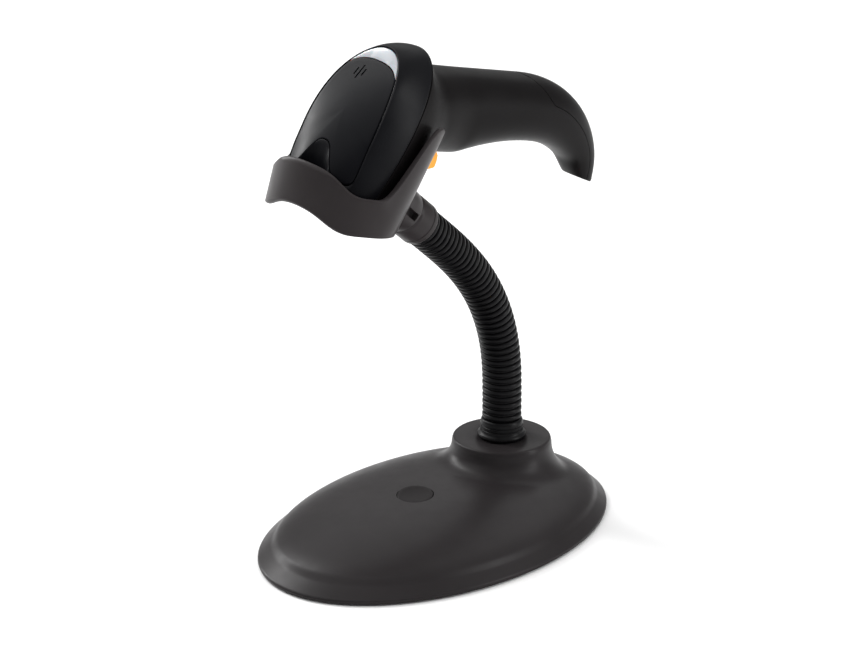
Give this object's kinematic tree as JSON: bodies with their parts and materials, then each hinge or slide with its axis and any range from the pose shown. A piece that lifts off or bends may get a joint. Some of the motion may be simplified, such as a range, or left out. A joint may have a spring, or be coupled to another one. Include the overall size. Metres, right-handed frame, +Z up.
{
  "type": "handheld barcode scanner",
  "caption": "Handheld barcode scanner with a curved pistol grip and trigger, nose down in a ring cradle on a weighted gooseneck stand.",
  "frame": {"origin": "middle of the elliptical foot, on the underside of its rubber pad", "axes": "+Z up; +Y towards the back, where the pedestal and the handle are; -Y towards the scanner's nose; X across the foot"},
  "size_m": [0.1386, 0.208, 0.2571],
  "materials": {
    "stand_plastic": "satin charcoal with a warm cast, fine spark texture",
    "foot_rubber": "matt, non-slip",
    "inlay_plastic": "satin",
    "weight_steel": "plain, as cut",
    "screw_steel": "zinc plated",
    "neck_rubber": "black, slightly shiny ribs",
    "neck_steel": "wound strip",
    "cradle_plastic": "satin charcoal with a warm cast",
    "lid_plastic": "satin blue-black, fine spark texture",
    "plate_plastic": "satin blue-black",
    "light_pipe": "milky translucent",
    "bezel_plastic": "matt black",
    "window_plastic": "red tinted, polished",
    "grip_plastic": "satin brown-black",
    "socket_plastic": "matt black",
    "board_green": "solder mask",
    "chip_black": "moulded package",
    "led_white": "clear dome",
    "engine_metal": "die cast",
    "laser_brass": "turned",
    "lens_clear": "polished",
    "coil_copper": "enamelled winding",
    "mirror_face": "first-surface mirror",
    "trigger_plastic": "satin yellow-orange"
  },
  "bodies": {
    "stand": {"base_shell": "stand_plastic", "base_weight": "weight_steel", "base_plate": "bezel_plastic", "base_pad": "foot_rubber", "base_screws": "screw_steel", "base_inlay": "inlay_plastic", "neck_collar": "neck_rubber", "neck_nut": "screw_steel", "neck_sleeve_0": "neck_rubber", "neck_core_0": "neck_steel"},
    "neck_1": {"neck_sleeve_1": "neck_rubber", "neck_core_1": "neck_steel"},
    "neck_2": {"neck_sleeve_2": "neck_rubber", "neck_core_2": "neck_steel"},
    "neck_3": {"neck_sleeve_3": "neck_rubber", "neck_core_3": "neck_steel"},
    "neck_4": {"neck_sleeve_4": "neck_rubber", "neck_core_4": "neck_steel"},
    "neck_5": {"neck_sleeve_5": "neck_rubber", "neck_core_5": "neck_steel"},
    "neck_6": {"neck_sleeve_6": "neck_rubber", "neck_core_6": "neck_steel"},
    "neck_7": {"neck_sleeve_7": "neck_rubber", "neck_core_7": "neck_steel"},
    "neck_8": {"neck_sleeve_8": "neck_rubber", "neck_core_8": "neck_steel"},
    "cradle": {"neck_sleeve_9": "neck_rubber", "neck_core_9": "neck_steel", "neck_ferrule": "cradle_plastic", "cradle": "cradle_plastic", "cradle_screw": "screw_steel"},
    "scanner": {"head_shell": "lid_plastic", "top_plate": "plate_plastic", "light_pipe": "light_pipe", "nose_bezel": "bezel_plastic", "scan_window": "window_plastic", "grip_shell": "grip_plastic", "grip_back_cover": "grip_plastic", "grip_screws": "screw_steel", "cable_socket": "socket_plastic", "main_board": "board_green", "beeper": "chip_black", "status_led": "led_white", "decoder_chip": "chip_black", "engine_frame": "engine_metal", "laser_module": "laser_brass", "collector_lens": "lens_clear", "photodiode_board": "board_green", "mirror_coil": "coil_copper", "mirror_pin": "screw_steel", "trigger_pin": "screw_steel", "trigger_spring": "screw_steel", "trigger_switch": "chip_black"},
    "mirror": {"scan_mirror": "mirror_face"},
    "trigger": {"trigger": "trigger_plastic"}
  },
  "joints": [
    {"name": "neck_bend", "type": "hinge", "parent": "stand", "child": "neck_1", "pos_m": [0, 0.0493, 0.05992], "axis": [1, 0, 0], "range_deg": [-10, 5]},
    {"name": "neck_lean", "type": "hinge", "parent": "neck_1", "child": "neck_2", "pos_m": [0, 0.0488, 0.07383], "axis": [0, 0.9954, 0.0961], "range_deg": [-8, 8]},
    {"name": "neck_bend_2", "type": "hinge", "parent": "neck_2", "child": "neck_3", "pos_m": [0, 0.04663, 0.08758], "axis": [1, 0, 0], "range_deg": [-10, 5]},
    {"name": "neck_lean_2", "type": "hinge", "parent": "neck_3", "child": "neck_4", "pos_m": [0, 0.0425, 0.10088], "axis": [0, 0.9301, 0.3673], "range_deg": [-8, 8]},
    {"name": "neck_bend_3", "type": "hinge", "parent": "neck_4", "child": "neck_5", "pos_m": [0, 0.03643, 0.1134], "axis": [1, 0, 0], "range_deg": [-10, 5]},
    {"name": "neck_lean_3", "type": "hinge", "parent": "neck_5", "child": "neck_6", "pos_m": [0, 0.02866, 0.12495], "axis": [0, 0.794, 0.6079], "range_deg": [-8, 8]},
    {"name": "neck_bend_4", "type": "hinge", "parent": "neck_6", "child": "neck_7", "pos_m": [0, 0.01954, 0.13547], "axis": [1, 0, 0], "range_deg": [-10, 5]},
    {"name": "neck_lean_4", "type": "hinge", "parent": "neck_7", "child": "neck_8", "pos_m": [0, 0.0095, 0.14511], "axis": [0, 0.6725, 0.7401], "range_deg": [-8, 8]},
    {"name": "neck_bend_5", "type": "hinge", "parent": "neck_8", "child": "cradle", "pos_m": [0, -0.00106, 0.15418], "axis": [1, 0, 0], "range_deg": [-10, 5]},
    {"name": "scanner_lift", "type": "slide", "parent": "cradle", "child": "scanner", "axis": [0.1219, 0.6353, 0.7626], "range_m": [0, 0.09]},
    {"name": "trigger_pull", "type": "hinge", "parent": "scanner", "child": "trigger", "pos_m": [0.00291, -0.03111, 0.21008], "axis": [0.9925, -0.078, -0.0936], "range_deg": [0, 8], "stiffness_Nm_per_rad": 0.15, "springref_deg": -8.59},
    {"name": "mirror_scan", "type": "hinge", "parent": "scanner", "child": "mirror", "pos_m": [-0.00582, -0.06536, 0.19951], "axis": [0, -0.7683, 0.6401], "range_deg": [-10, 10], "stiffness_Nm_per_rad": 0.004}
  ],
  "couplings": [
    {"joint": "neck_bend_2", "follows": "neck_bend", "ratio": 1},
    {"joint": "neck_lean_2", "follows": "neck_lean", "ratio": 1},
    {"joint": "neck_bend_3", "follows": "neck_bend", "ratio": 1},
    {"joint": "neck_lean_3", "follows": "neck_lean", "ratio": 1},
    {"joint": "neck_bend_4", "follows": "neck_bend", "ratio": 1},
    {"joint": "neck_lean_4", "follows": "neck_lean", "ratio": 1},
    {"joint": "neck_bend_5", "follows": "neck_bend", "ratio": 1}
  ]
}
